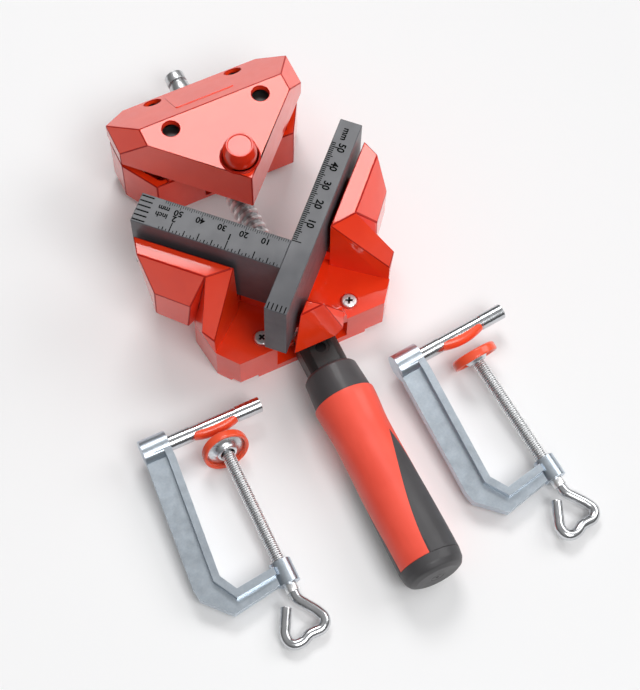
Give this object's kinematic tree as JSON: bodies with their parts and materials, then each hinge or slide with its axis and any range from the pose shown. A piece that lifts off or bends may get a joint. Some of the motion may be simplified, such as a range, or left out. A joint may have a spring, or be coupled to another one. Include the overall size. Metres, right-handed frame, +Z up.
{
  "type": "corner clamp",
  "caption": "Right-angle corner clamp: two fixed scale jaws, a spindle-driven swivelling wedge jaw with quick-release button, turning handle and screw table clamps.",
  "frame": {"origin": "on the bench under the inner corner of the two fixed jaws", "axes": "+Y along the spindle from the handle towards the moving jaw, +Z up from the bench, +X to the right seen from the handle"},
  "size_m": [0.1813, 0.2921, 0.072],
  "materials": {
    "red_casting": "glossy red paint on die casting",
    "red_button": "glossy red plastic",
    "scale_plastic": "satin dark grey with black scale marks",
    "zinc_screws": "bright zinc plated",
    "plated_spindle": "bright plated thread",
    "inner_casting": "bare casting",
    "half_nut_brass": "bare brass",
    "black_plastic": "satin black",
    "grey_plastic": "soft dark grey",
    "red_grip": "satin red-orange",
    "zinc_frame": "bluish zinc plated, fine cast grain",
    "chrome_bar": "polished",
    "orange_pad": "orange-red plastic"
  },
  "bodies": {
    "base": {"base_tray": "red_casting", "base_casting": "red_casting", "scale_cover_right": "scale_plastic", "scale_cover_left": "scale_plastic", "deck_screws": "zinc_screws"},
    "bearing": {"bearing_block": "inner_casting"},
    "spindle": {"spindle": "plated_spindle", "thrust_washer": "zinc_screws", "retaining_collar": "zinc_screws", "handle_neck": "black_plastic", "handle_cross_pin": "zinc_screws", "handle_collar": "grey_plastic", "handle_grip": "red_grip", "grip_inserts": "grey_plastic", "handle_end_cap": "grey_plastic"},
    "carriage": {"nut_carriage": "inner_casting", "rocker_pin": "zinc_screws", "button_spring": "zinc_screws"},
    "rocker": {"release_rocker": "inner_casting", "half_nut": "half_nut_brass"},
    "button": {"release_button": "red_button"},
    "jaw": {"jaw_shell": "red_casting", "jaw_foot": "red_casting", "jaw_screws": "zinc_screws"},
    "left_clamp": {"left_clamp_frame": "zinc_frame", "left_clamp_bar": "chrome_bar", "left_bar_pad": "orange_pad"},
    "left_plate": {"left_pressure_plate": "chrome_bar", "left_pressure_cap": "orange_pad"},
    "left_screw": {"left_clamp_screw": "plated_spindle", "left_screw_loop": "plated_spindle"},
    "right_clamp": {"right_clamp_frame": "zinc_frame", "right_clamp_bar": "chrome_bar", "right_bar_pad": "orange_pad"},
    "right_plate": {"right_pressure_plate": "chrome_bar", "right_pressure_cap": "orange_pad"},
    "right_screw": {"right_clamp_screw": "plated_spindle", "right_screw_loop": "plated_spindle"}
  },
  "joints": [
    {"name": "spindle_swivel", "type": "hinge", "parent": "base", "child": "bearing", "pos_m": [0, -0.011, 0.0148], "axis": [0, 0, 1], "range_deg": [-3, 3]},
    {"name": "spindle_turn", "type": "hinge", "parent": "bearing", "child": "spindle", "pos_m": [0, -0.011, 0.0148], "axis": [0, 1, 0], "range_deg": [-1081, 2521]},
    {"name": "jaw_slide", "type": "slide", "parent": "bearing", "child": "carriage", "axis": [0, 1, 0], "range_m": [-0.028, 0.012]},
    {"name": "jaw_swivel", "type": "hinge", "parent": "carriage", "child": "jaw", "pos_m": [0, 0.0533, 0.05], "axis": [0, 0, 1], "range_deg": [-4.5, 4.5]},
    {"name": "button_press", "type": "slide", "parent": "carriage", "child": "button", "axis": [0, 0, -1], "range_m": [0, 0.003], "stiffness_N_per_m": 900, "springref_m": -0.002, "deforming": ["button_spring"]},
    {"name": "rocker_tilt", "type": "hinge", "parent": "carriage", "child": "rocker", "pos_m": [0, 0.07, 0.0335], "axis": [1, 0, 0], "range_deg": [0, 11.5]},
    {"name": "left_clamp_lift", "type": "slide", "parent": "base", "child": "left_clamp", "axis": [0, 0, 1], "range_m": [0, 0.12]},
    {"name": "left_plate_slide", "type": "slide", "parent": "left_clamp", "child": "left_plate", "axis": [0, 0.9973, 0.0741], "range_m": [-0.045, 0.004]},
    {"name": "left_screw_turn", "type": "hinge", "parent": "left_plate", "child": "left_screw", "pos_m": [-0.057, -0.11001, 0.00676], "axis": [0, 0.9973, 0.0741], "range_deg": [-16201, 1441]},
    {"name": "right_clamp_lift", "type": "slide", "parent": "base", "child": "right_clamp", "axis": [0, 0, 1], "range_m": [0, 0.12]},
    {"name": "right_plate_slide", "type": "slide", "parent": "right_clamp", "child": "right_plate", "axis": [-0.0939, 0.993, 0.0715], "range_m": [-0.045, 0.004]},
    {"name": "right_screw_turn", "type": "hinge", "parent": "right_plate", "child": "right_screw", "pos_m": [0.06917, -0.11701, 0.0071], "axis": [-0.0939, 0.993, 0.0715], "range_deg": [-16201, 1441]}
  ],
  "couplings": [
    {"joint": "spindle_turn", "follows": "jaw_slide", "rad_per_m": -1570.8},
    {"joint": "rocker_tilt", "follows": "button_press", "rad_per_m": 65.1},
    {"joint": "left_screw_turn", "follows": "left_plate_slide", "rad_per_m": 6283.2},
    {"joint": "right_screw_turn", "follows": "right_plate_slide", "rad_per_m": 6283.2}
  ]
}
